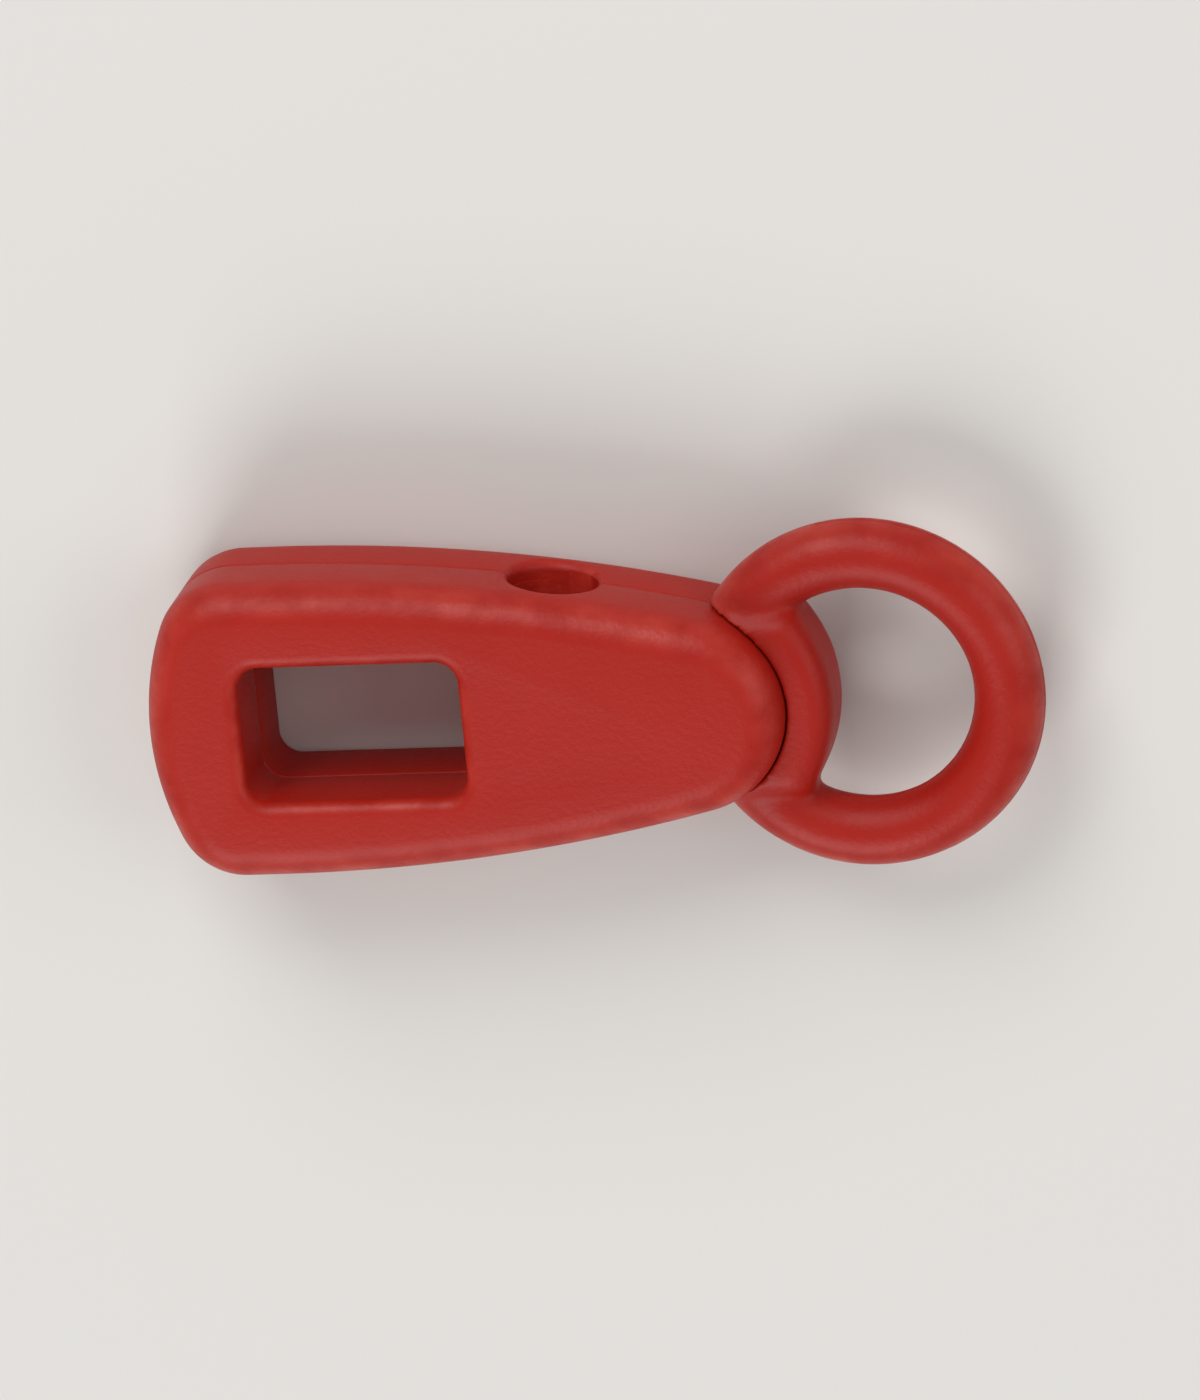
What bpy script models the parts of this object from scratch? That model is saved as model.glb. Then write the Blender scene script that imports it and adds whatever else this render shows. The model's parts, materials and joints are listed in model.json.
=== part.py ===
"""Pull-to-release cord lock: two half shells, a sprung release slider with a pull ring, and its return spring.

Frame: +X runs along the lock towards the pull ring, +Y across it, +Z through its thickness.
The lock lies on its flat back face at z = 0, and both sides of y = 0 are alike.
Dimensions are given in millimetres, and each finished mesh is turned to metres by MM.
"""

from math import acos, atan2, cos, pi, sin, sqrt

import bmesh
import bpy
from mathutils import Matrix, Vector

MM = 0.001

# ---------------------------------------------------------------- driving dimensions, millimetres
LENGTH = 28.0             # wide end to the far side of the pull ring
THICKNESS = 5.6           # back face to front face
PARTING_GAP = 0.08        # between the two half shells
MID_Z = THICKNESS / 2

END_X = -LENGTH / 2       # tip of the wide end
END_RADIUS = 9.0          # crown of the wide end
CORNER_RADIUS = 2.2       # between the wide end and the sides
HALF_WIDTH = 4.8          # greatest half width
WIDEST_X = -10.2          # where the sides start to close in
NOSE_RADIUS = 3.2
NOSE_CENTRE_X = 2.9
TAPER_LENGTH = NOSE_CENTRE_X - WIDEST_X
# the long arc of a side starts straight at WIDEST_X and runs into the nose without a corner
SIDE_RADIUS = (TAPER_LENGTH**2 + HALF_WIDTH**2 - NOSE_RADIUS**2) / (2 * (HALF_WIDTH - NOSE_RADIUS))
FACE_ROUNDING = 1.2       # round between a face and the sides

WINDOW_X = (-10.9, -3.9)  # clear window for the tape that ties the lock to a garment
WINDOW_HALF_WIDTH = 2.2
WINDOW_CORNER = 0.7
WINDOW_ROUNDING = 0.45    # round between a face and the window

ANVIL_X = -2.6            # tips of the anvil's teeth
JAW_LENGTH = 1.5
TRAVEL = 2.6              # pull from locked to open
STOP_GAP = 0.05           # left between the jaw and its stop at full pull
CAVITY_STOP_X = ANVIL_X + JAW_LENGTH + TRAVEL + STOP_GAP  # shoulder where the cavity narrows
CAVITY_END_X = 4.6        # inside of the nose wall
CAVITY_HALF_WIDTH = 2.3
CAVITY_NOSE_HALF_WIDTH = 1.8
CAVITY_HALF_HEIGHT = 1.8

CORD_BORE_X = -1.1        # the cord runs straight across, along Y
CORD_BORE_RADIUS = 1.4
CORD_MOUTH_RADIUS = 1.6   # the bore flares to this at both sides
CORD_MOUTH_DEPTH = 0.4

TEETH = 4                 # grip ridges on the anvil, met by those of the jaw
TOOTH_PITCH = 0.8
TOOTH_HEIGHT = 0.25

JAW_CLEARANCE = 0.12      # round the jaw, in its cavity
JAW_GAP = 0.12            # between the two rows of teeth when locked
STEM_RADIUS = 1.0
STEM_CLEARANCE = 0.12

HUB_GAP = 0.15            # between nose and hub when locked
HUB_RADIUS = 5.0          # convex outer face of the hub
HUB_TIP_X = 7.5
HUB_HALF_WIDTH = 3.0      # its ends lie inside the ring's legs
HUB_THICKNESS = 3.0
HUB_ROUNDING = 0.6
RING_OUTER_RADIUS = 5.6
RING_TUBE_RADIUS = 1.08

SPRING_WIRE_RADIUS = 0.18
SPRING_RADIUS = 1.42      # axis to the middle of the wire
SPRING_TURNS = 6          # the first and the last lie almost closed
SPRING_CLOSE_PITCH = 0.44  # of those two turns
SPRING_END_GAP = 0.1      # from the coil to the jaw and to the nose wall

PEG_RADIUS = 0.55
PEG_LENGTH = 1.2
PEG_CLEARANCE = 0.06
PEG_TIP_TAPER = (0.2, 0.15)  # length of the tapered tip, and what it takes off the radius
PEG_ROOT = 0.3            # how far a peg's root reaches into its shell
SOCKET_SPARE = 0.15       # a socket is this much deeper than its peg
PEG_PLACES = [(-12.3, 2.4), (-12.3, -2.4), (-3.5, 3.35), (-3.5, -3.35)]

OVER = 1.0                # how far cutters run past the surfaces that they cut
NEAR = 0.001              # two measures this close are the same


# ---------------------------------------------------------------- helpers
def clear_scene():
    for item in list(bpy.context.scene.objects):
        bpy.data.objects.remove(item, do_unlink=True)


def finish_material(name, colour, roughness, metallic=0.0):
    made = bpy.data.materials.new(name)
    made.use_nodes = True
    shader = made.node_tree.nodes["Principled BSDF"]
    shader.inputs["Base Color"].default_value = (*colour, 1.0)
    shader.inputs["Roughness"].default_value = roughness
    shader.inputs["Metallic"].default_value = metallic
    made.diffuse_color = (*colour, 1.0)
    return made


def as_object(name, shape):
    """Turns a bmesh in millimetres into an object in metres whose faces point outwards."""
    bmesh.ops.scale(shape, vec=(MM, MM, MM), verts=shape.verts)
    bmesh.ops.recalc_face_normals(shape, faces=shape.faces)
    mesh = bpy.data.meshes.new(name)
    shape.to_mesh(mesh)
    shape.free()
    made = bpy.data.objects.new(name, mesh)
    bpy.context.scene.collection.objects.link(made)
    return made


def combine(target, operation, shape):
    """Applies an exact boolean with a bmesh shape, at once."""
    other = as_object("tool", shape)
    change = target.modifiers.new("combine", "BOOLEAN")
    change.operation = operation
    change.object = other
    change.solver = "EXACT"
    evaluated = target.evaluated_get(bpy.context.evaluated_depsgraph_get())
    result = bpy.data.meshes.new_from_object(evaluated)
    target.modifiers.clear()
    target.data = result
    bpy.data.objects.remove(other, do_unlink=True)


def complete(target, material, smooth_below=0.6):
    """Merges stray points, gives the material, and shades the round stretches smooth."""
    work = bmesh.new()
    work.from_mesh(target.data)
    bmesh.ops.remove_doubles(work, verts=work.verts, dist=NEAR * MM)
    work.to_mesh(target.data)
    work.free()
    target.data.name = target.name
    target.data.materials.clear()
    target.data.materials.append(material)
    target.data.shade_smooth()
    target.data.set_sharp_from_angle(angle=smooth_below)
    return target


def move_origin(target, place):
    """Puts the object's origin at a place in millimetres, and leaves its shape where it is."""
    origin = Vector(place) * MM
    target.data.transform(Matrix.Translation(-origin))
    target.location = origin


def arc(centre, radius, start, end, count):
    """Points on an arc from one angle to another, both ends included."""
    turns = [start + (end - start) * i / count for i in range(count + 1)]
    return [(centre[0] + radius * cos(t), centre[1] + radius * sin(t)) for t in turns]


def mirrored(upper):
    """Closes an upper outline that starts and ends on y = 0 with its mirror image."""
    return upper + [(x, -y) for x, y in reversed(upper[1:-1])]


def prism(outline, low, high):
    """An outline in X and Y, raised from z = low to z = high."""
    shape = bmesh.new()
    floor = shape.faces.new([shape.verts.new((x, y, low)) for x, y in outline])
    raised = bmesh.ops.extrude_face_region(shape, geom=[floor])["geom"]
    top = [v for v in raised if isinstance(v, bmesh.types.BMVert)]
    bmesh.ops.translate(shape, vec=(0, 0, high - low), verts=top)
    return shape


def round_edges(shape, chosen, radius, segments):
    edges = [e for e in shape.edges if all(chosen(v.co) for v in e.verts)]
    bmesh.ops.bevel(
        shape, geom=edges, offset=radius, segments=segments, profile=0.5,
        affect="EDGES", clamp_overlap=False,
    )


def turned(profile, place, sides=24):
    """Turns a profile of (along, radius) pairs. Place maps (along, across, up) to a point."""
    shape = bmesh.new()
    rings = []
    for along, radius in profile:
        if radius == 0:
            rings.append([shape.verts.new(place(along, 0, 0))] * sides)
        else:
            turns = [2 * pi * i / sides for i in range(sides)]
            rings.append([shape.verts.new(place(along, radius * cos(t), radius * sin(t))) for t in turns])
    for near, far in zip(rings, rings[1:]):
        for i in range(sides):
            j = (i + 1) % sides
            shape.faces.new(list(dict.fromkeys([near[i], near[j], far[j], far[i]])))
    return shape


def rod(start, end, radius, place, sides=24):
    return turned([(start, 0), (start, radius), (end, radius), (end, 0)], place, sides)


def on_long_axis(along, across, up):
    return (along, across, MID_Z + up)


def on_cord_axis(along, across, up):
    return (CORD_BORE_X + across, along, MID_Z + up)


def on_peg_axis(x, y):
    return lambda along, across, up: (x + across, y + up, along)


# ---------------------------------------------------------------- outlines
def side_half_width(x):
    """Half width of the housing where its sides are the long arc."""
    return HALF_WIDTH - SIDE_RADIUS + sqrt(SIDE_RADIUS**2 - (x - WIDEST_X) ** 2)


def housing_outline():
    """Nose arc, long side arc, corner round and end crown, each tangent to the next."""
    nose = (NOSE_CENTRE_X, 0)
    side = (WIDEST_X, HALF_WIDTH - SIDE_RADIUS)
    crown = (END_X + END_RADIUS, 0)
    meet = atan2(-side[1], TAPER_LENGTH)

    # the corner round touches the crown from inside, and the widest line
    corner_y = HALF_WIDTH - CORNER_RADIUS
    corner_x = crown[0] - sqrt((END_RADIUS - CORNER_RADIUS) ** 2 - corner_y**2)
    touch = atan2(corner_y, corner_x - crown[0])

    upper = arc(nose, NOSE_RADIUS, 0, meet, 8)[:-1]
    upper += arc(side, SIDE_RADIUS, meet, pi / 2, 8)
    upper += arc((corner_x, corner_y), CORNER_RADIUS, pi / 2, touch, 6)
    upper += arc(crown, END_RADIUS, touch, pi, 5)[1:]
    return mirrored(upper)


def window_outline():
    x0, x1 = WINDOW_X[0] + WINDOW_CORNER, WINDOW_X[1] - WINDOW_CORNER
    y = WINDOW_HALF_WIDTH - WINDOW_CORNER
    corners = [(x1, y), (x0, y), (x0, -y), (x1, -y)]
    points = []
    for i, corner in enumerate(corners):
        points += arc(corner, WINDOW_CORNER, i * pi / 2, (i + 1) * pi / 2, 4)
    return points


def teeth(x):
    """A row of ridges along Y whose tips stand at x and whose roots lie TOOTH_HEIGHT behind, from +Y to -Y."""
    top = TEETH * TOOTH_PITCH / 2
    points = []
    for i in range(TEETH):
        points.append((x - TOOTH_HEIGHT, top - i * TOOTH_PITCH))
        points.append((x, top - (i + 0.5) * TOOTH_PITCH))
    points.append((x - TOOTH_HEIGHT, -top))
    return points


# ---------------------------------------------------------------- housing
def cavity():
    """Room for the jaw and the spring, with the anvil's teeth at its left."""
    left = ANVIL_X - TOOTH_HEIGHT
    wide, narrow = CAVITY_HALF_WIDTH, CAVITY_NOSE_HALF_WIDTH
    outline = [(left, wide)] + teeth(ANVIL_X) + [
        (left, -wide), (CAVITY_STOP_X, -wide), (CAVITY_STOP_X, -narrow), (CAVITY_END_X, -narrow),
        (CAVITY_END_X, narrow), (CAVITY_STOP_X, narrow), (CAVITY_STOP_X, wide),
    ]
    return prism(outline, MID_Z - CAVITY_HALF_HEIGHT, MID_Z + CAVITY_HALF_HEIGHT)


def cord_bore():
    """Straight bore along Y with a flared mouth at each side."""
    side = side_half_width(CORD_BORE_X)
    flare = (CORD_MOUTH_RADIUS - CORD_BORE_RADIUS) / CORD_MOUTH_DEPTH
    far = side + OVER
    wide = CORD_MOUTH_RADIUS + flare * OVER
    neck = side - CORD_MOUTH_DEPTH
    profile = [
        (-far, 0), (-far, wide), (-neck, CORD_BORE_RADIUS),
        (neck, CORD_BORE_RADIUS), (far, wide), (far, 0),
    ]
    return turned(profile, on_cord_axis, 28)


def half_shell(name, parting_z, face_z):
    """One half of the housing, from the parting plane to its flat face."""
    plate = prism(housing_outline(), parting_z, face_z)
    round_edges(plate, lambda co: abs(co.z - face_z) < NEAR, FACE_ROUNDING, 4)
    shell = as_object(name, plate)

    low, high = sorted((parting_z, face_z))
    window = prism(window_outline(), low - OVER, high + OVER)
    combine(shell, "DIFFERENCE", window)

    # round the window's edge on the face
    work = bmesh.new()
    work.from_mesh(shell.data)

    def on_window_rim(co):
        x, y, z = co.x / MM, co.y / MM, co.z / MM
        inside_x = WINDOW_X[0] - NEAR < x < WINDOW_X[1] + NEAR
        return abs(z - face_z) < NEAR and inside_x and abs(y) < WINDOW_HALF_WIDTH + NEAR

    round_edges(work, on_window_rim, WINDOW_ROUNDING * MM, 3)
    work.to_mesh(shell.data)
    work.free()

    combine(shell, "DIFFERENCE", cavity())
    combine(shell, "DIFFERENCE", cord_bore())
    stem_hole = rod(CAVITY_END_X - OVER, HUB_TIP_X, STEM_RADIUS + STEM_CLEARANCE, on_long_axis)
    combine(shell, "DIFFERENCE", stem_hole)
    return shell


def front_shell(material):
    """Front half, with the four pegs."""
    parting = MID_Z + PARTING_GAP / 2
    shell = half_shell("front_shell", parting, THICKNESS)
    for x, y in PEG_PLACES:
        tip, root = MID_Z - PEG_LENGTH, parting + PEG_ROOT
        taper, narrower = PEG_TIP_TAPER
        profile = [
            (tip, 0), (tip, PEG_RADIUS - narrower), (tip + taper, PEG_RADIUS), (root, PEG_RADIUS), (root, 0),
        ]
        combine(shell, "UNION", turned(profile, on_peg_axis(x, y), 16))
    complete(shell, material)


def back_shell(material):
    """Back half, with the four sockets."""
    shell = half_shell("back_shell", MID_Z - PARTING_GAP / 2, 0.0)
    for x, y in PEG_PLACES:
        bottom = MID_Z - PEG_LENGTH - SOCKET_SPARE
        socket = rod(bottom, MID_Z + OVER, PEG_RADIUS + PEG_CLEARANCE, on_peg_axis(x, y), 16)
        combine(shell, "DIFFERENCE", socket)
    complete(shell, material)


# ---------------------------------------------------------------- release slider
def jaw():
    """Block whose teeth point into the gaps of the anvil's teeth."""
    tips = ANVIL_X + JAW_GAP
    back = ANVIL_X + JAW_LENGTH
    half = CAVITY_HALF_WIDTH - JAW_CLEARANCE
    face = tips - TOOTH_HEIGHT
    outline = [(back, half), (face, half)] + teeth(tips) + [(face, -half), (back, -half)]
    height = CAVITY_HALF_HEIGHT - JAW_CLEARANCE
    return prism(outline, MID_Z - height, MID_Z + height)


def hub():
    """Crescent that fits round the nose and carries the ring, rounded at its front and back edges."""
    inner = NOSE_RADIUS + HUB_GAP
    inner_turn = acos(sqrt(inner**2 - HUB_HALF_WIDTH**2) / inner)
    outer_centre = HUB_TIP_X - HUB_RADIUS
    outer_turn = acos(sqrt(HUB_RADIUS**2 - HUB_HALF_WIDTH**2) / HUB_RADIUS)
    outline = arc((outer_centre, 0), HUB_RADIUS, -outer_turn, outer_turn, 12)
    outline += arc((NOSE_CENTRE_X, 0), inner, inner_turn, -inner_turn, 12)
    shape = prism(outline, MID_Z - HUB_THICKNESS / 2, MID_Z + HUB_THICKNESS / 2)

    def on_outer_face(co):
        reach = sqrt((co.x - outer_centre) ** 2 + co.y**2)
        return reach > HUB_RADIUS - NEAR and abs(abs(co.z - MID_Z) - HUB_THICKNESS / 2) < NEAR

    edges = [
        e for e in shape.edges
        if all(on_outer_face(v.co) for v in e.verts) and abs(e.verts[0].co.z - e.verts[1].co.z) < NEAR
    ]
    bmesh.ops.bevel(shape, geom=edges, offset=HUB_ROUNDING, segments=4, profile=0.5, affect="EDGES")
    return shape


def pull_ring():
    """Round-section ring, cut back where it would run into the nose."""
    centre_x = LENGTH / 2 - RING_OUTER_RADIUS
    mean = RING_OUTER_RADIUS - RING_TUBE_RADIUS
    around, across = 44, 14
    shape = bmesh.new()
    loops = []
    for i in range(around):
        turn = 2 * pi * i / around
        loop = []
        for k in range(across):
            tube = 2 * pi * k / across
            reach = mean + RING_TUBE_RADIUS * cos(tube)
            place = (centre_x + reach * cos(turn), reach * sin(turn), MID_Z + RING_TUBE_RADIUS * sin(tube))
            loop.append(shape.verts.new(place))
        loops.append(loop)
    for i, loop in enumerate(loops):
        after = loops[(i + 1) % around]
        for k in range(across):
            m = (k + 1) % across
            shape.faces.new((loop[k], after[k], after[m], loop[m]))
    return shape


def release_slider(material):
    slider = as_object("release_slider", pull_ring())
    nose_room = rod(-OVER, THICKNESS + OVER, NOSE_RADIUS + HUB_GAP, on_peg_axis(NOSE_CENTRE_X, 0), 48)
    combine(slider, "DIFFERENCE", nose_room)
    combine(slider, "UNION", hub())
    stem = rod(ANVIL_X + JAW_LENGTH / 2, HUB_TIP_X - HUB_ROUNDING, STEM_RADIUS, on_long_axis)
    combine(slider, "UNION", stem)
    combine(slider, "UNION", jaw())
    complete(slider, material)
    move_origin(slider, on_long_axis(0, 0, 0))


# ---------------------------------------------------------------- return spring
def spring_place(turns):
    """Place along the axis after so many turns: one close turn, the open ones, one close turn."""
    start = ANVIL_X + JAW_LENGTH + SPRING_END_GAP + SPRING_WIRE_RADIUS
    end = CAVITY_END_X - SPRING_END_GAP - SPRING_WIRE_RADIUS
    open_pitch = (end - start - 2 * SPRING_CLOSE_PITCH) / (SPRING_TURNS - 2)
    if turns < 1:
        return start + SPRING_CLOSE_PITCH * turns
    if turns > SPRING_TURNS - 1:
        return end - SPRING_CLOSE_PITCH * (SPRING_TURNS - turns)
    return start + SPRING_CLOSE_PITCH + open_pitch * (turns - 1)


def return_spring(material):
    """Coil of round wire round the stem, between the jaw's back and the nose wall."""
    steps, sides = 20, 8
    shape = bmesh.new()
    loops = []
    for i in range(SPRING_TURNS * steps + 1):
        angle = 2 * pi * i / steps
        loop = []
        for k in range(sides):
            tube = 2 * pi * k / sides
            reach = SPRING_RADIUS + SPRING_WIRE_RADIUS * cos(tube)
            along = spring_place(i / steps) + SPRING_WIRE_RADIUS * sin(tube)
            loop.append(shape.verts.new(on_long_axis(along, reach * cos(angle), reach * sin(angle))))
        loops.append(loop)
    for near, far in zip(loops, loops[1:]):
        for k in range(sides):
            m = (k + 1) % sides
            shape.faces.new((near[k], near[m], far[m], far[k]))
    shape.faces.new(loops[0])
    shape.faces.new(loops[-1])
    spring = complete(as_object("return_spring", shape), material)
    move_origin(spring, on_long_axis(CAVITY_END_X - SPRING_END_GAP, 0, 0))


# ---------------------------------------------------------------- the lock
def main():
    clear_scene()
    housing_plastic = finish_material("housing_plastic", (0.56, 0.042, 0.028), 0.5)
    slider_plastic = finish_material("slider_plastic", (0.54, 0.038, 0.026), 0.5)
    spring_steel = finish_material("spring_steel", (0.62, 0.62, 0.60), 0.3, metallic=1.0)
    front_shell(housing_plastic)
    back_shell(housing_plastic)
    release_slider(slider_plastic)
    return_spring(spring_steel)


main()
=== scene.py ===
import json
from math import atan2, cos, pi, radians, sin, sqrt

import bmesh
import bpy
from mathutils import Matrix, Vector


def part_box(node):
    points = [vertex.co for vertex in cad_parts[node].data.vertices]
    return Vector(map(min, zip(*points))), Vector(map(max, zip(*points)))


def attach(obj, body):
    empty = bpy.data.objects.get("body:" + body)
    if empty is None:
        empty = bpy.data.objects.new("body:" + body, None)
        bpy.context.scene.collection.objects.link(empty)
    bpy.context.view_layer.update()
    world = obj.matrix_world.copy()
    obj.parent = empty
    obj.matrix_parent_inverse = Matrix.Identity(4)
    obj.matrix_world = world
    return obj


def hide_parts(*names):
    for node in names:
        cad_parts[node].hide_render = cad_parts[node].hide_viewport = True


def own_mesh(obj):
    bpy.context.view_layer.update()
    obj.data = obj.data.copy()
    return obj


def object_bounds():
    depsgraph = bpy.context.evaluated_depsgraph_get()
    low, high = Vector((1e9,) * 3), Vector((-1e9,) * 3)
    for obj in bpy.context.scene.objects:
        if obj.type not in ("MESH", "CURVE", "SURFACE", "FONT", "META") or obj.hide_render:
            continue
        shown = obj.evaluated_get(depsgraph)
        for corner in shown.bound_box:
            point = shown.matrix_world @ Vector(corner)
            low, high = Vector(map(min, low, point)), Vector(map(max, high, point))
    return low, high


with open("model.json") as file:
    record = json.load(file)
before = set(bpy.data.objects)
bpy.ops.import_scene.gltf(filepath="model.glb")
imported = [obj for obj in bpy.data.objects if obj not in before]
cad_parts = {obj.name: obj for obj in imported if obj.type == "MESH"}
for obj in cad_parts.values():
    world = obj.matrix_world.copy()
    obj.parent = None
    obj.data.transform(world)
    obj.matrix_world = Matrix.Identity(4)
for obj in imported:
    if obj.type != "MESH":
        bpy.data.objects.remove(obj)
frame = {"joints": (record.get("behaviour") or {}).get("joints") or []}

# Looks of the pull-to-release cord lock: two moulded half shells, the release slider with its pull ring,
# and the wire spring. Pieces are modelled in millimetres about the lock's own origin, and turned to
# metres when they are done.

cad_low, cad_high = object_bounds()

MM = 0.001

# ---------------------------------------------------------------- sizes, in millimetres
shell_low, shell_high = [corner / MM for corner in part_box("front_shell")]
slider_low, slider_high = [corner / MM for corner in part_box("release_slider")]
spring_low, spring_high = [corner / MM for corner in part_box("return_spring")]

THICKNESS = shell_high.z
MID_Z = THICKNESS / 2
END_X = shell_low.x                  # tip of the wide end
NOSE_X = shell_high.x                # tip of the nose
HALF_WIDTH = shell_high.y            # at the widest place

END_RADIUS = 9.0                     # crown of the wide end
CORNER_RADIUS = 2.2                  # between the wide end and the sides
WIDEST_X = END_X + 3.8               # where the sides start to close in
NOSE_RADIUS = 3.2
NOSE_CENTRE_X = NOSE_X - NOSE_RADIUS
TAPER_LENGTH = NOSE_CENTRE_X - WIDEST_X
# long arc of each side, which runs into the nose without a corner
SIDE_RADIUS = (TAPER_LENGTH**2 + HALF_WIDTH**2 - NOSE_RADIUS**2) / (2 * (HALF_WIDTH - NOSE_RADIUS))
FACE_ROUNDING = 1.2                  # between a face and the sides
SEAM_GAP = 0.05                      # between the half shells
SEAM_ROUNDING = 0.09                 # along both lips of the seam

WINDOW_X = (END_X + 3.1, END_X + 10.1)
WINDOW_HALF_WIDTH = 2.2
WINDOW_CORNER = 0.7
WINDOW_ROUNDING = 0.45               # between a face and the window

ANVIL_X = END_X + 11.4               # tips of the anvil's teeth
CAVITY_END_X = NOSE_X - 1.5          # inside of the nose wall
CAVITY_HALF_WIDTH = 2.3
CAVITY_NOSE_HALF_WIDTH = 1.8
CAVITY_HALF_HEIGHT = 1.8
CORD_BORE_X = END_X + 12.9
CORD_BORE_RADIUS = 1.4
MOUTH_ROUNDING = 0.30                # round of the cord bore's mouths

TEETH = 4
TOOTH_PITCH = 0.8
TOOTH_HEIGHT = 0.25
PEG_RADIUS = 0.55
PEG_LENGTH = 1.2
PEG_TIP_ROUNDING = 0.15
PEG_ROOT = 0.4                       # how far a peg reaches into its shell
PEG_CLEARANCE = 0.05
SOCKET_SPARE = 0.1                   # a socket is this much deeper than its peg
PEG_PLACES = [(END_X + x, way * y) for x, y in ((1.7, 2.4), (10.5, 3.35)) for way in (1, -1)]

JAW_CLEARANCE = 0.12                 # round the jaw, in its cavity
JAW_GAP = 0.12                       # between the two rows of teeth when locked
JAW_BACK_X = ANVIL_X + 1.5
TRAVEL = frame["joints"][0]["range_m"][1] / MM
STOP_GAP = 0.05                      # left between the jaw and its stop at full pull
CAVITY_STOP_X = JAW_BACK_X + TRAVEL + STOP_GAP
JAW_ROUNDING = 0.15
STEM_RADIUS = 1.0
STEM_CLEARANCE = 0.12
HUB_GAP = 0.04                       # between nose and hub when locked
HUB_RADIUS = 5.0                     # of its convex outer face
HUB_TIP_X = NOSE_X + 1.4
HUB_HALF_WIDTH = 3.0
HUB_THICKNESS = 3.0
HUB_ROUNDING = 0.75
RING_TUBE_RADIUS = 1.08
RING_MEAN_RADIUS = slider_high.y - RING_TUBE_RADIUS
RING_CENTRE_X = slider_high.x - slider_high.y
ROOT_X, ROOT_Y = HUB_TIP_X - 1.6, 2.85   # where a leg of the ring leaves the hub
SKIN_CELL = 0.065                    # size of the facets of the ring and the hub
SKIN_LOSS = 0.01                     # what easing the skin takes off the ring's section
SKIN_PASSES = 8                      # of easing over the whole skin
FILLET_REACHES = (2.0, 1.7, 1.4, 1.1)  # round a root, from the widest zone that is eased to the deepest
FILLET_PASSES = 16                   # of easing in each of those zones
PARTING_RIDGE = 0.03                 # height of the mould's parting line round the ring
PARTING_START_X = ROOT_X + 1.4       # the line stops short of the fillets here
RIM_HEIGHT = 1.0                     # closer than this to mid-thickness, nothing rubs the housing

SPRING_WIRE_RADIUS = 0.18
SPRING_RADIUS = spring_high.y - SPRING_WIRE_RADIUS
SPRING_TURNS = 6
SPRING_CLOSE_PITCH = 0.44            # of the first and the last turn

OVER = 2.0                           # how far cutters run past what they cut
OVERLAP = 0.5                        # how far solids that are united run into each other
NEAR = 1e-4                          # two measures this close are the same
ARC_SLACK = 0.002                    # ends of an outline's arcs that meet this closely are one point


# ---------------------------------------------------------------- modelling steps
def object_mode():
    if bpy.context.mode != "OBJECT":
        bpy.ops.object.mode_set(mode="OBJECT")


def pick(piece):
    """Leaves one piece selected and active, in object mode."""
    object_mode()
    bpy.ops.object.select_all(action="DESELECT")
    piece.select_set(True)
    bpy.context.view_layer.objects.active = piece


def added(name):
    """Names the primitive that was just added, and applies its place to its mesh."""
    piece = bpy.context.active_object
    pick(piece)
    bpy.ops.object.transform_apply(location=True, rotation=True, scale=True)
    piece.name = name
    piece.data.name = name
    return piece


def choose(kind, passes):
    """In edit mode, selects just the vertices, edges or faces that pass a test."""
    bpy.ops.mesh.select_mode(type=kind)
    bpy.ops.mesh.select_all(action="DESELECT")
    mesh = bpy.context.edit_object.data
    shape = bmesh.from_edit_mesh(mesh)
    for item in {"VERT": shape.verts, "EDGE": shape.edges, "FACE": shape.faces}[kind]:
        if passes(item):
            item.select_set(True)
    shape.select_flush_mode()
    bmesh.update_edit_mesh(mesh)


def edit(piece, kind, passes):
    pick(piece)
    bpy.ops.object.mode_set(mode="EDIT")
    choose(kind, passes)


def at_height(z):
    """A test that passes what lies wholly at one height."""
    return lambda item: all(abs(v.co.z - z) < NEAR for v in item.verts)


def at_length(x):
    """A test that passes what lies wholly in one place along the lock."""
    return lambda item: all(abs(v.co.x - x) < NEAR for v in item.verts)


def round_chosen(radius, segments):
    bpy.ops.mesh.bevel(
        offset_type="OFFSET", offset=radius, segments=segments, profile=0.5,
        affect="EDGES", clamp_overlap=False,
    )


def box(name, low, high):
    object_mode()
    middle = [(a + b) / 2 for a, b in zip(low, high)]
    bpy.ops.mesh.primitive_cube_add(
        size=1, location=middle, scale=[b - a for a, b in zip(low, high)])
    return added(name)


def rod(name, start, end, radius, vertices=64):
    """A round bar from one point to another, both on a line along an axis."""
    object_mode()
    start, end = Vector(start), Vector(end)
    along = end - start
    bpy.ops.mesh.primitive_cylinder_add(
        vertices=vertices, radius=radius, depth=along.length, location=(start + end) / 2,
        rotation=along.to_track_quat("Z", "Y").to_euler())
    return added(name)


def boolean(piece, operation, tool):
    """Applies an exact boolean and takes the tool away."""
    pick(piece)
    change = piece.modifiers.new("combine", "BOOLEAN")
    change.operation = operation
    change.object = tool
    change.solver = "EXACT"
    bpy.ops.object.modifier_apply(modifier=change.name)
    bpy.data.objects.remove(tool, do_unlink=True)


def mark_wear(piece, worn_at):
    """Stores on each point how much it is rubbed in use, from 0 to 1."""
    wear = piece.data.attributes.new("wear", "FLOAT", "POINT")
    for vert, rubbed in zip(piece.data.vertices, wear.data):
        rubbed.value = min(max(worn_at(vert), 0), 1)


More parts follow.
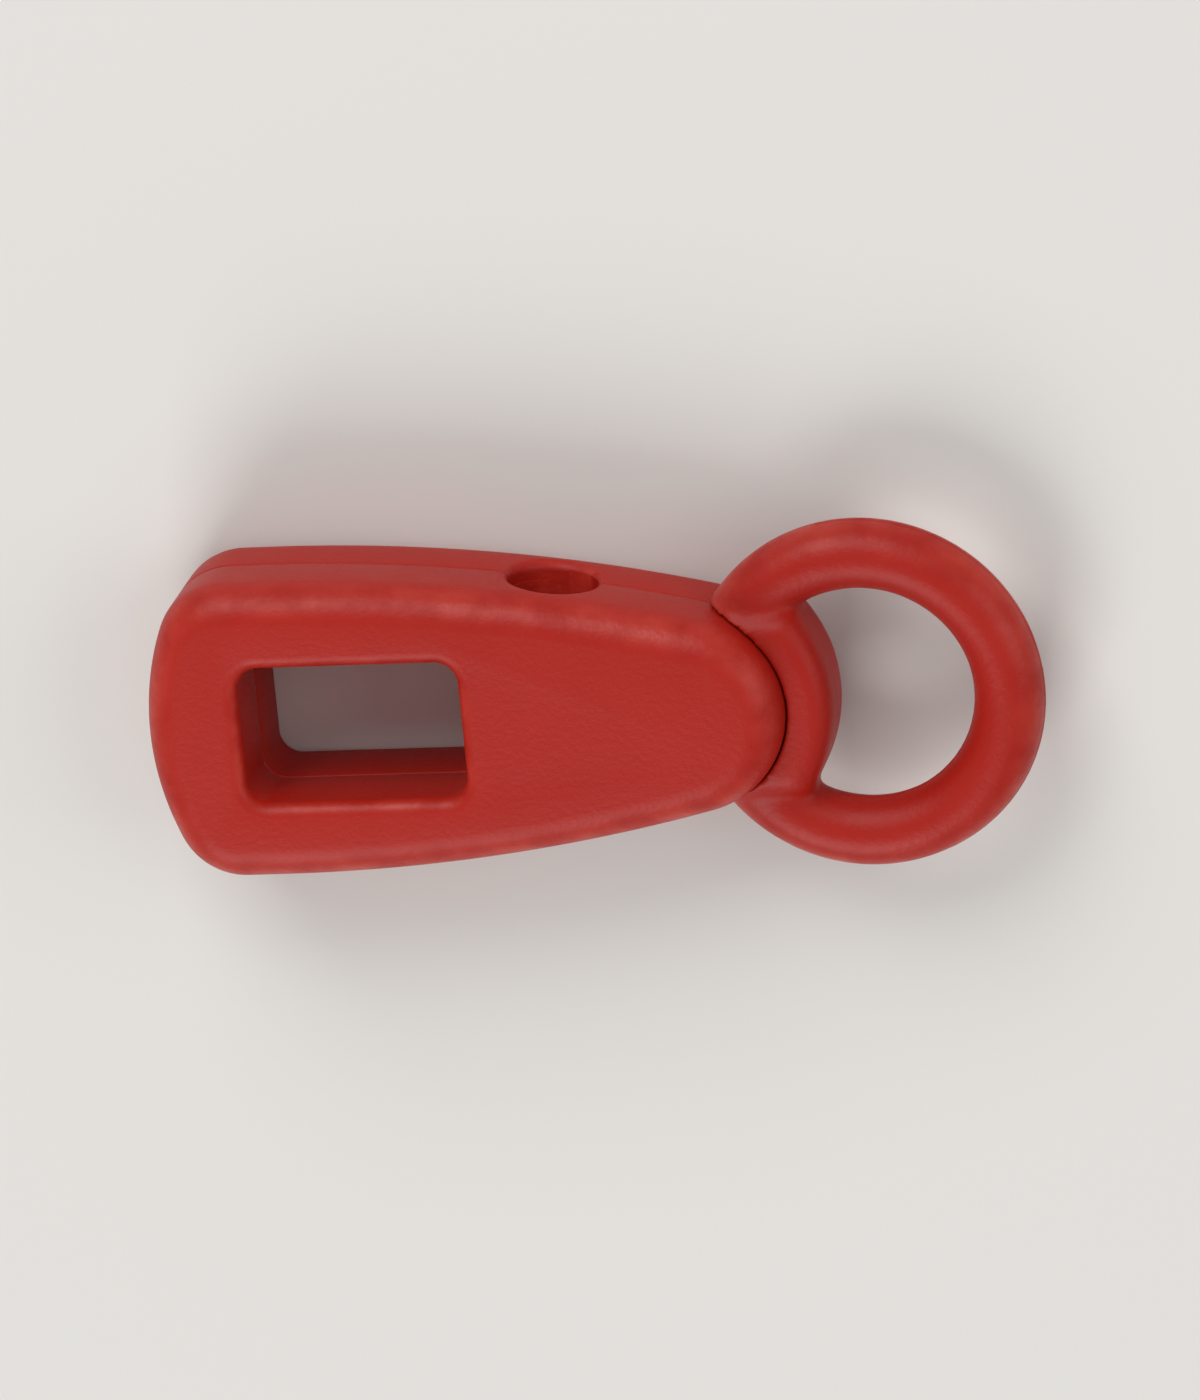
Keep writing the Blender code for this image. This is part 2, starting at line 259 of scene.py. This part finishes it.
def complete(piece, body, node, material, smooth_below=35):
    """Turns a piece to metres, shades it, and puts it on its body in place of the plain one."""
    pick(piece)
    piece.scale = (MM, MM, MM)
    bpy.ops.object.transform_apply(location=True, rotation=True, scale=True)
    bpy.ops.object.shade_smooth_by_angle(angle=radians(smooth_below))
    piece.data.materials.clear()
    piece.data.materials.append(material)
    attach(piece, body)
    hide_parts(node)
    return piece


# ---------------------------------------------------------------- housing
def swing(centre, turn, steps, z):
    """Draws an arc on from the chosen point, anticlockwise seen from above. A spin turns the other way."""
    bpy.ops.mesh.spin(steps=steps, angle=-turn, center=(centre[0], centre[1], z), axis=(0, 0, 1))


def run_on(along):
    bpy.ops.mesh.extrude_region_move(TRANSFORM_OT_translate={"value": (along, 0, 0)})


def outline(name, z):
    """The housing's outline as one face, drawn as arcs from the nose tip round to it again."""
    side_centre_y = HALF_WIDTH - SIDE_RADIUS
    crown_x = END_X + END_RADIUS
    corner_y = HALF_WIDTH - CORNER_RADIUS
    corner_x = crown_x - sqrt((END_RADIUS - CORNER_RADIUS) ** 2 - corner_y**2)
    touch = atan2(corner_y, corner_x - crown_x)
    meet = atan2(-side_centre_y, TAPER_LENGTH)

    object_mode()
    bpy.ops.mesh.primitive_plane_add(size=1, location=(NOSE_X, 0, z))
    piece = added(name)
    bpy.ops.object.mode_set(mode="EDIT")
    bpy.ops.mesh.select_mode(type="VERT")
    bpy.ops.mesh.select_all(action="SELECT")
    bpy.ops.mesh.merge(type="CENTER")
    swing((NOSE_CENTRE_X, 0), meet, 20, z)
    swing((WIDEST_X, side_centre_y), pi / 2 - meet, 44, z)
    run_on(corner_x - WIDEST_X)
    swing((corner_x, corner_y), touch - pi / 2, 16, z)
    swing((crown_x, 0), 2 * (pi - touch), 30, z)
    swing((corner_x, -corner_y), touch - pi / 2, 16, z)
    run_on(WIDEST_X - corner_x)
    swing((WIDEST_X, -side_centre_y), pi / 2 - meet, 44, z)
    swing((NOSE_CENTRE_X, 0), meet, 20, z)
    bpy.ops.mesh.select_all(action="SELECT")
    bpy.ops.mesh.remove_doubles(threshold=ARC_SLACK)
    bpy.ops.mesh.edge_face_add()
    return piece


def side_half_width(x):
    return HALF_WIDTH - SIDE_RADIUS + sqrt(SIDE_RADIUS**2 - (x - WIDEST_X) ** 2)


def window_cutter():
    cutter = box(
        "window_cutter", (WINDOW_X[0], -WINDOW_HALF_WIDTH, -OVER),
        (WINDOW_X[1], WINDOW_HALF_WIDTH, THICKNESS + OVER))
    edit(cutter, "EDGE", lambda e: abs(e.verts[0].co.z - e.verts[1].co.z) > THICKNESS)
    round_chosen(WINDOW_CORNER, 10)
    object_mode()
    return cutter


def add_teeth(piece, wall_x, tips_x):
    """Folds the middle of a flat wall at wall_x into upright ridges whose tips reach tips_x."""
    top = TEETH * TOOTH_PITCH / 2
    for i in range(2 * TEETH + 1):
        edit(piece, "FACE", lambda f: True)
        bpy.ops.mesh.bisect(plane_co=(0, top - i * TOOTH_PITCH / 2, 0), plane_no=(0, 1, 0))
    ridges = [top - (i + 0.5) * TOOTH_PITCH for i in range(TEETH)]

    def on_ridge(vert):
        return abs(vert.co.x - wall_x) < NEAR and any(abs(vert.co.y - y) < NEAR for y in ridges)

    choose("VERT", on_ridge)
    bpy.ops.transform.translate(value=(tips_x - wall_x, 0, 0))
    object_mode()


def cavity_cutter():
    wall_x = ANVIL_X - TOOTH_HEIGHT
    low_z, high_z = MID_Z - CAVITY_HALF_HEIGHT, MID_Z + CAVITY_HALF_HEIGHT
    cutter = box(
        "cavity_cutter", (wall_x, -CAVITY_HALF_WIDTH, low_z), (CAVITY_STOP_X, CAVITY_HALF_WIDTH, high_z))
    add_teeth(cutter, wall_x, ANVIL_X)
    narrow = box(
        "cavity_nose_cutter", (CAVITY_STOP_X - OVERLAP, -CAVITY_NOSE_HALF_WIDTH, low_z),
        (CAVITY_END_X, CAVITY_NOSE_HALF_WIDTH, high_z))
    boolean(cutter, "UNION", narrow)
    return cutter


def mouth_cutter(way):
    """Trumpet that rounds one mouth of the cord bore, square to the slanting side of the housing."""
    steps = 7
    inside, outside = 2 * MOUTH_ROUNDING, 1.0
    surface = side_half_width(CORD_BORE_X)
    slant = atan2(CORD_BORE_X - WIDEST_X, SIDE_RADIUS)
    cutter = rod("mouth_cutter", (0, 0, -inside), (0, 0, -MOUTH_ROUNDING), CORD_BORE_RADIUS, 72)
    edit(cutter, "FACE", at_height(-MOUTH_ROUNDING))
    radius, height = CORD_BORE_RADIUS, -MOUTH_ROUNDING
    for i in range(1, steps + 1):
        turn = pi / 2 * i / steps
        new_radius = CORD_BORE_RADIUS + MOUTH_ROUNDING * (1 - cos(turn))
        new_height = MOUTH_ROUNDING * (sin(turn) - 1)
        bpy.ops.mesh.extrude_region_move(TRANSFORM_OT_translate={"value": (0, 0, new_height - height)})
        grow = new_radius / radius
        bpy.ops.transform.resize(value=(grow, grow, 1), center_override=(0, 0, 0))
        radius, height = new_radius, new_height
    bpy.ops.mesh.extrude_region_move(TRANSFORM_OT_translate={"value": (0, 0, outside)})
    object_mode()
    tip_over = Matrix.Rotation(-way * pi / 2, 4, "X")
    lean = Matrix.Rotation(-way * slant, 4, "Z")
    cutter.matrix_world = Matrix.Translation((CORD_BORE_X, way * surface, MID_Z)) @ lean @ tip_over
    pick(cutter)
    bpy.ops.object.transform_apply(location=True, rotation=True, scale=True)
    return cutter


def half_shell(name, way):
    """One half shell. Way is 1 for the front, above the seam, and -1 for the back."""
    seam_z = MID_Z + way * SEAM_GAP / 2
    face_z = THICKNESS if way > 0 else 0.0
    shell = outline(name, seam_z)
    bpy.ops.mesh.extrude_region_move(TRANSFORM_OT_translate={"value": (0, 0, face_z - seam_z)})
    bpy.ops.mesh.select_all(action="SELECT")
    bpy.ops.mesh.normals_make_consistent(inside=False)
    choose("EDGE", at_height(face_z))
    round_chosen(FACE_ROUNDING, 12)
    choose("EDGE", at_height(seam_z))
    round_chosen(SEAM_ROUNDING, 3)
    boolean(shell, "DIFFERENCE", window_cutter())

    def in_window(edge):
        return all(
            WINDOW_X[0] - NEAR < v.co.x < WINDOW_X[1] + NEAR and abs(v.co.y) < WINDOW_HALF_WIDTH + NEAR
            for v in edge.verts)

    edit(shell, "EDGE", lambda e: in_window(e) and at_height(face_z)(e))
    round_chosen(WINDOW_ROUNDING, 8)
    choose("EDGE", lambda e: in_window(e) and at_height(seam_z)(e))
    round_chosen(SEAM_ROUNDING, 3)
    object_mode()

    boolean(shell, "DIFFERENCE", cavity_cutter())
    far = HALF_WIDTH + OVER
    bore = rod("bore", (CORD_BORE_X, -far, MID_Z), (CORD_BORE_X, far, MID_Z), CORD_BORE_RADIUS, 72)
    boolean(shell, "DIFFERENCE", bore)
    for side in (-1, 1):
        boolean(shell, "DIFFERENCE", mouth_cutter(side))
    stem_room = rod(
        "stem_room", (CAVITY_END_X - OVERLAP, 0, MID_Z), (NOSE_X + OVER, 0, MID_Z),
        STEM_RADIUS + STEM_CLEARANCE)
    boolean(shell, "DIFFERENCE", stem_room)

    # rims between a face and the sides or the window are rubbed most
    def rubbed_rim(vert):
        facing = vert.normal.z ** 2
        return 4 * facing * (1 - facing) if abs(vert.co.z - MID_Z) > RIM_HEIGHT else 0

    mark_wear(shell, rubbed_rim)

    tip_z = MID_Z - PEG_LENGTH
    for x, y in PEG_PLACES:
        if way > 0:
            peg = rod("peg", (x, y, tip_z), (x, y, seam_z + PEG_ROOT), PEG_RADIUS, 32)
            edit(peg, "EDGE", at_height(tip_z))
            round_chosen(PEG_TIP_ROUNDING, 3)
            boolean(shell, "UNION", peg)
        else:
            bottom, top = (x, y, tip_z - SOCKET_SPARE), (x, y, MID_Z + OVER)
            boolean(shell, "DIFFERENCE", rod("socket", bottom, top, PEG_RADIUS + PEG_CLEARANCE, 32))
    return shell


# ---------------------------------------------------------------- release slider
def hub():
    """Crescent between nose and ring, rounded all along the edges of both its faces."""
    centre_x = HUB_TIP_X - HUB_RADIUS
    low_z, high_z = MID_Z - HUB_THICKNESS / 2, MID_Z + HUB_THICKNESS / 2
    piece = rod("hub", (centre_x, 0, low_z), (centre_x, 0, high_z), HUB_RADIUS, 160)
    strip = box(
        "strip", (NOSE_CENTRE_X, -HUB_HALF_WIDTH, low_z - OVER),
        (HUB_TIP_X + OVER, HUB_HALF_WIDTH, high_z + OVER))
    boolean(piece, "INTERSECT", strip)
    edit(piece, "EDGE", lambda e: at_height(low_z)(e) or at_height(high_z)(e))
    round_chosen(HUB_ROUNDING, 8)
    object_mode()
    return piece


def jaw():
    """Toothed block that presses the cord against the anvil, its back edges rounded."""
    wall_x = ANVIL_X + JAW_GAP - TOOTH_HEIGHT
    half = CAVITY_HALF_WIDTH - JAW_CLEARANCE
    height = CAVITY_HALF_HEIGHT - JAW_CLEARANCE
    piece = box("jaw", (wall_x, -half, MID_Z - height), (JAW_BACK_X, half, MID_Z + height))
    edit(piece, "EDGE", at_length(JAW_BACK_X))
    round_chosen(JAW_ROUNDING, 4)
    object_mode()
    add_teeth(piece, wall_x, wall_x + TOOTH_HEIGHT)
    return piece


def skin(piece):
    """One fine even skin over all the solids of a piece."""
    pick(piece)
    cover = piece.modifiers.new("skin", "REMESH")
    cover.mode = "VOXEL"
    cover.voxel_size = SKIN_CELL
    bpy.ops.object.modifier_apply(modifier=cover.name)


def ease(piece, passes, repeat):
    """Relaxes part of a fine skin, which turns its inside corners into fillets."""
    edit(piece, "VERT", passes)
    bpy.ops.mesh.vertices_smooth(factor=0.5, repeat=repeat)
    object_mode()


def from_ring_middle(vert):
    """How far a point lies outside the ring's middle line, seen from above."""
    return Vector((vert.co.x - RING_CENTRE_X, vert.co.y)).length - RING_MEAN_RADIUS


def release_slider():
    """Ring and hub under one eased skin, and the stem and the jaw behind them."""
    crescent = hub()
    bpy.ops.mesh.primitive_torus_add(
        location=(RING_CENTRE_X, 0, MID_Z), major_segments=160, minor_segments=40,
        major_radius=RING_MEAN_RADIUS, minor_radius=RING_TUBE_RADIUS + SKIN_LOSS)
    slider = added("release_slider_moulding")
    crescent.select_set(True)
    bpy.ops.object.join()
    skin(slider)
    for reach in FILLET_REACHES:
        ease(slider, lambda v: Vector((v.co.x - ROOT_X, abs(v.co.y) - ROOT_Y)).length < reach, FILLET_PASSES)

    nose_room = rod(
        "nose_room", (NOSE_CENTRE_X, 0, -OVER), (NOSE_CENTRE_X, 0, THICKNESS + OVER),
        NOSE_RADIUS + HUB_GAP, 160)
    boolean(slider, "DIFFERENCE", nose_room)
    skin(slider)
    ease(slider, lambda v: True, SKIN_PASSES)

    # parting line of the mould round the ring, on its outside and in its hole
    def on_parting(vert, way):
        at_middle = abs(vert.co.z - MID_Z) < SKIN_CELL / 2
        return at_middle and vert.co.x > PARTING_START_X and way * from_ring_middle(vert) > 0

    for way in (1, -1):
        edit(slider, "VERT", lambda v: on_parting(v, way))
        grow = 1 + way * PARTING_RIDGE / (RING_MEAN_RADIUS + way * RING_TUBE_RADIUS)
        bpy.ops.transform.resize(value=(grow, grow, 1), center_override=(RING_CENTRE_X, 0, MID_Z))
    object_mode()

    # fingers and hooks rub the outside of the ring
    mark_wear(slider, from_ring_middle)

    stem = rod(
        "stem", (JAW_BACK_X - OVERLAP, 0, MID_Z), (HUB_TIP_X - HUB_ROUNDING, 0, MID_Z), STEM_RADIUS)
    boolean(stem, "UNION", jaw())
    boolean(slider, "UNION", stem)
    return slider


# ---------------------------------------------------------------- return spring
def spring_place(turns):
    """Place along the axis after so many turns: a close turn, the open ones, a close turn."""
    start = spring_low.x + SPRING_WIRE_RADIUS
    end = spring_high.x - SPRING_WIRE_RADIUS
    open_pitch = (end - start - 2 * SPRING_CLOSE_PITCH) / (SPRING_TURNS - 2)
    if turns < 1:
        return start + SPRING_CLOSE_PITCH * turns
    if turns > SPRING_TURNS - 1:
        return end - SPRING_CLOSE_PITCH * (SPRING_TURNS - turns)
    return start + SPRING_CLOSE_PITCH + open_pitch * (turns - 1)


def return_spring():
    """Coil of round wire, as a smooth curve with a round section, made a mesh."""
    steps = 40  # in each turn
    data = bpy.data.curves.new("return_spring_coil", "CURVE")
    data.dimensions = "3D"
    data.bevel_depth = SPRING_WIRE_RADIUS
    data.bevel_resolution = 4
    data.use_fill_caps = True
    wire = data.splines.new("POLY")
    count = SPRING_TURNS * steps + 1
    wire.points.add(count - 1)
    for i in range(count):
        turn = 2 * pi * i / steps
        place = (spring_place(i / steps), SPRING_RADIUS * cos(turn), MID_Z + SPRING_RADIUS * sin(turn))
        wire.points[i].co = (*place, 1)
    coil = bpy.data.objects.new("return_spring_coil", data)
    bpy.context.scene.collection.objects.link(coil)
    pick(coil)
    bpy.ops.object.convert(target="MESH")
    coil = bpy.context.active_object
    edit(coil, "VERT", lambda v: True)
    bpy.ops.mesh.remove_doubles(threshold=NEAR)
    bpy.ops.mesh.normals_make_consistent(inside=False)
    object_mode()
    return coil


# ---------------------------------------------------------------- materials
def linear(code):
    """sRGB hex to the linear colour that shaders take."""
    parts = [int(code[i:i + 2], 16) / 255 for i in (1, 3, 5)]
    return (*[p / 12.92 if p <= 0.04045 else ((p + 0.055) / 1.055) ** 2.4 for p in parts], 1.0)


def new_material(name):
    made = bpy.data.materials.new(name)
    made.use_nodes = True
    return made, made.node_tree.nodes["Principled BSDF"]


def add(material, kind, values=None, links=None, **settings):
    """Adds a node, sets its options and input values, and links its inputs to other nodes' outputs."""
    tree = material.node_tree
    node = tree.nodes.new(kind)
    for key, value in settings.items():
        setattr(node, key, value)
    for key, value in (values or {}).items():
        node.inputs[key].default_value = value
    for key, source in (links or {}).items():
        tree.links.new(source, node.inputs[key])
    return node


def link(material, source, target):
    material.node_tree.links.new(source, target)


def moulded_acetal(name, dark, light, rubbed, roughness):
    """Dyed acetal from a spark-eroded mould: satin, faintly clouded dye, and paler, shinier worn parts."""
    made, shader = new_material(name)
    shader.inputs["IOR"].default_value = 1.48
    shader.inputs["Specular IOR Level"].default_value = 0.26
    shader.inputs["Subsurface Weight"].default_value = 0.05
    shader.inputs["Subsurface Radius"].default_value = (1.0, 0.12, 0.08)
    shader.inputs["Subsurface Scale"].default_value = 0.3 * MM
    place = add(made, "ShaderNodeTexCoord").outputs["Object"]

    # dye that flowed with the melt, in clouds a few millimetres long
    cloud = add(
        made, "ShaderNodeTexNoise", {"Scale": 1 / (5 * MM), "Detail": 4.0, "Roughness": 0.6},
        {"Vector": place})
    dye = add(
        made, "ShaderNodeMix", {"A": linear(dark), "B": linear(light)}, {"Factor": cloud.outputs["Fac"]},
        data_type="RGBA")

    # rubbing is patchy, in spots of about 1 mm
    patches = add(made, "ShaderNodeTexNoise", {"Scale": 1 / (1.2 * MM), "Detail": 4.0}, {"Vector": place})
    patchy = add(
        made, "ShaderNodeMapRange", {"From Min": 0.35, "From Max": 0.65}, {"Value": patches.outputs["Fac"]})
    wear = add(made, "ShaderNodeAttribute", attribute_name="wear")
    worn = add(
        made, "ShaderNodeMath", links={0: wear.outputs["Fac"], 1: patchy.outputs["Result"]},
        operation="MULTIPLY")
    colour = add(
        made, "ShaderNodeMix", {"B": linear(rubbed)},
        {"Factor": worn.outputs["Value"], "A": dye.outputs["Result"]}, data_type="RGBA")
    link(made, colour.outputs["Result"], shader.inputs["Base Color"])

    # the satin varies a little from patch to patch, and rubbing polishes it
    varies, polish = 0.06, 0.16
    satin = add(
        made, "ShaderNodeMapRange", {"To Min": roughness - varies, "To Max": roughness + varies},
        {"Value": patches.outputs["Fac"]})
    polished = add(
        made, "ShaderNodeMix", {"B": roughness - polish},
        {"Factor": worn.outputs["Value"], "A": satin.outputs["Result"]}, data_type="FLOAT")
    link(made, polished.outputs["Result"], shader.inputs["Roughness"])

    # spark-erosion grain, really 0.05 mm across and drawn at 0.2 mm to show, over 2 mm waves of shrinkage
    wave = add(made, "ShaderNodeTexNoise", {"Scale": 1 / (2 * MM), "Detail": 1.0}, {"Vector": place})
    slow = add(
        made, "ShaderNodeBump", {"Strength": 0.3, "Distance": 0.05 * MM}, {"Height": wave.outputs["Fac"]})
    grain = add(
        made, "ShaderNodeTexNoise", {"Scale": 1 / (0.2 * MM), "Detail": 2.0, "Roughness": 0.6},
        {"Vector": place})
    fine = add(
        made, "ShaderNodeBump", {"Strength": 0.8, "Distance": 0.02 * MM},
        {"Height": grain.outputs["Fac"], "Normal": slow.outputs["Normal"]})
    link(made, fine.outputs["Normal"], shader.inputs["Normal"])
    return made


def drawn_wire():
    """Bright drawn spring steel, with a thin film left from drawing that varies its tone and shine."""
    made, shader = new_material("drawn_spring_steel")
    shader.inputs["Metallic"].default_value = 1.0
    place = add(made, "ShaderNodeTexCoord").outputs["Object"]
    tone = add(made, "ShaderNodeTexNoise", {"Scale": 1 / (0.3 * MM), "Detail": 2.0}, {"Vector": place})
    colour = add(
        made, "ShaderNodeMix", {"A": linear("#A9A9A6"), "B": linear("#C6C5C1")},
        {"Factor": tone.outputs["Fac"]}, data_type="RGBA")
    link(made, colour.outputs["Result"], shader.inputs["Base Color"])
    rough = add(made, "ShaderNodeMapRange", {"To Min": 0.22, "To Max": 0.36}, {"Value": tone.outputs["Fac"]})
    link(made, rough.outputs["Result"], shader.inputs["Roughness"])
    return made


# ---------------------------------------------------------------- stage
def stage():
    """Pale card for a floor, and three soft lamps under a dim, cool studio sky."""
    bpy.ops.mesh.primitive_plane_add(size=0.8, location=(0, 0, 0))
    floor = bpy.context.active_object
    floor.name = "floor"
    made, shader = new_material("pale_card")
    shader.inputs["Base Color"].default_value = linear("#D9D6D1")
    shader.inputs["Roughness"].default_value = 0.8
    floor.data.materials.append(made)

    world = bpy.data.worlds.new("studio")
    world.use_nodes = True
    world.node_tree.nodes["Background"].inputs["Color"].default_value = linear("#E6E8EB")
    world.node_tree.nodes["Background"].inputs["Strength"].default_value = 0.5
    bpy.context.scene.world = world

    for name, place, size, power in (
        ("key", (-0.12, -0.30, 0.28), 0.24, 0.92),
        ("fill", (0.30, 0.06, 0.22), 0.26, 0.3),
        ("back", (-0.08, 0.30, 0.24), 0.24, 0.8),
    ):
        data = bpy.data.lights.new(name, "AREA")
        data.size = size
        data.energy = power
        lamp = bpy.data.objects.new(name, data)
        lamp.location = place
        lamp.rotation_euler = (-Vector(place)).to_track_quat("-Z", "Y").to_euler()
        bpy.context.scene.collection.objects.link(lamp)
    bpy.context.scene.view_settings.view_transform = "Standard"


def aim_camera():
    """Camera that looks down on the front face from past the far side and the nose, slightly rolled."""
    past_far_side, past_nose, rise = radians(18), radians(11.7), radians(1.8)
    away = Vector((sin(past_nose), sin(past_far_side), 0))
    away.z = sqrt(1 - away.length_squared)
    centre = (cad_low + cad_high) / 2
    data = bpy.data.cameras.new("camera")
    data.lens = 300
    data.sensor_width = 36
    view_height = 0.0435  # metres
    distance = view_height * data.lens / data.sensor_width
    right = (Vector((1, 0, 0)) - away.x * away).normalized()
    up = away.cross(right)
    rolled_right = cos(rise) * right - sin(rise) * up
    rolled_up = sin(rise) * right + cos(rise) * up
    turn = Matrix((rolled_right, rolled_up, away)).transposed()
    camera = bpy.data.objects.new("camera", data)
    camera.matrix_world = Matrix.Translation(centre + away * distance) @ turn.to_4x4()
    data.clip_start, data.clip_end = 0.01, 10
    bpy.context.scene.collection.objects.link(camera)
    bpy.context.scene.camera = camera


# ---------------------------------------------------------------- the lock
stage()
aim_camera()

housing_plastic = moulded_acetal("moulded_acetal_housing", "#9D180C", "#AB1E11", "#B43226", 0.48)
slider_plastic = moulded_acetal("moulded_acetal_slider", "#99160A", "#A81C0F", "#B03024", 0.46)
spring_steel = drawn_wire()

complete(half_shell("front_half", 1), "housing", "front_shell", housing_plastic)
complete(half_shell("back_half", -1), "housing", "back_shell", housing_plastic)
complete(release_slider(), "slider", "release_slider", slider_plastic, smooth_below=60)

# the nose holds the spring's end still, and the jaw presses the coil shorter by the slide's travel
coil = complete(return_spring(), "housing", "return_spring", spring_steel, smooth_below=60)
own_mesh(coil)
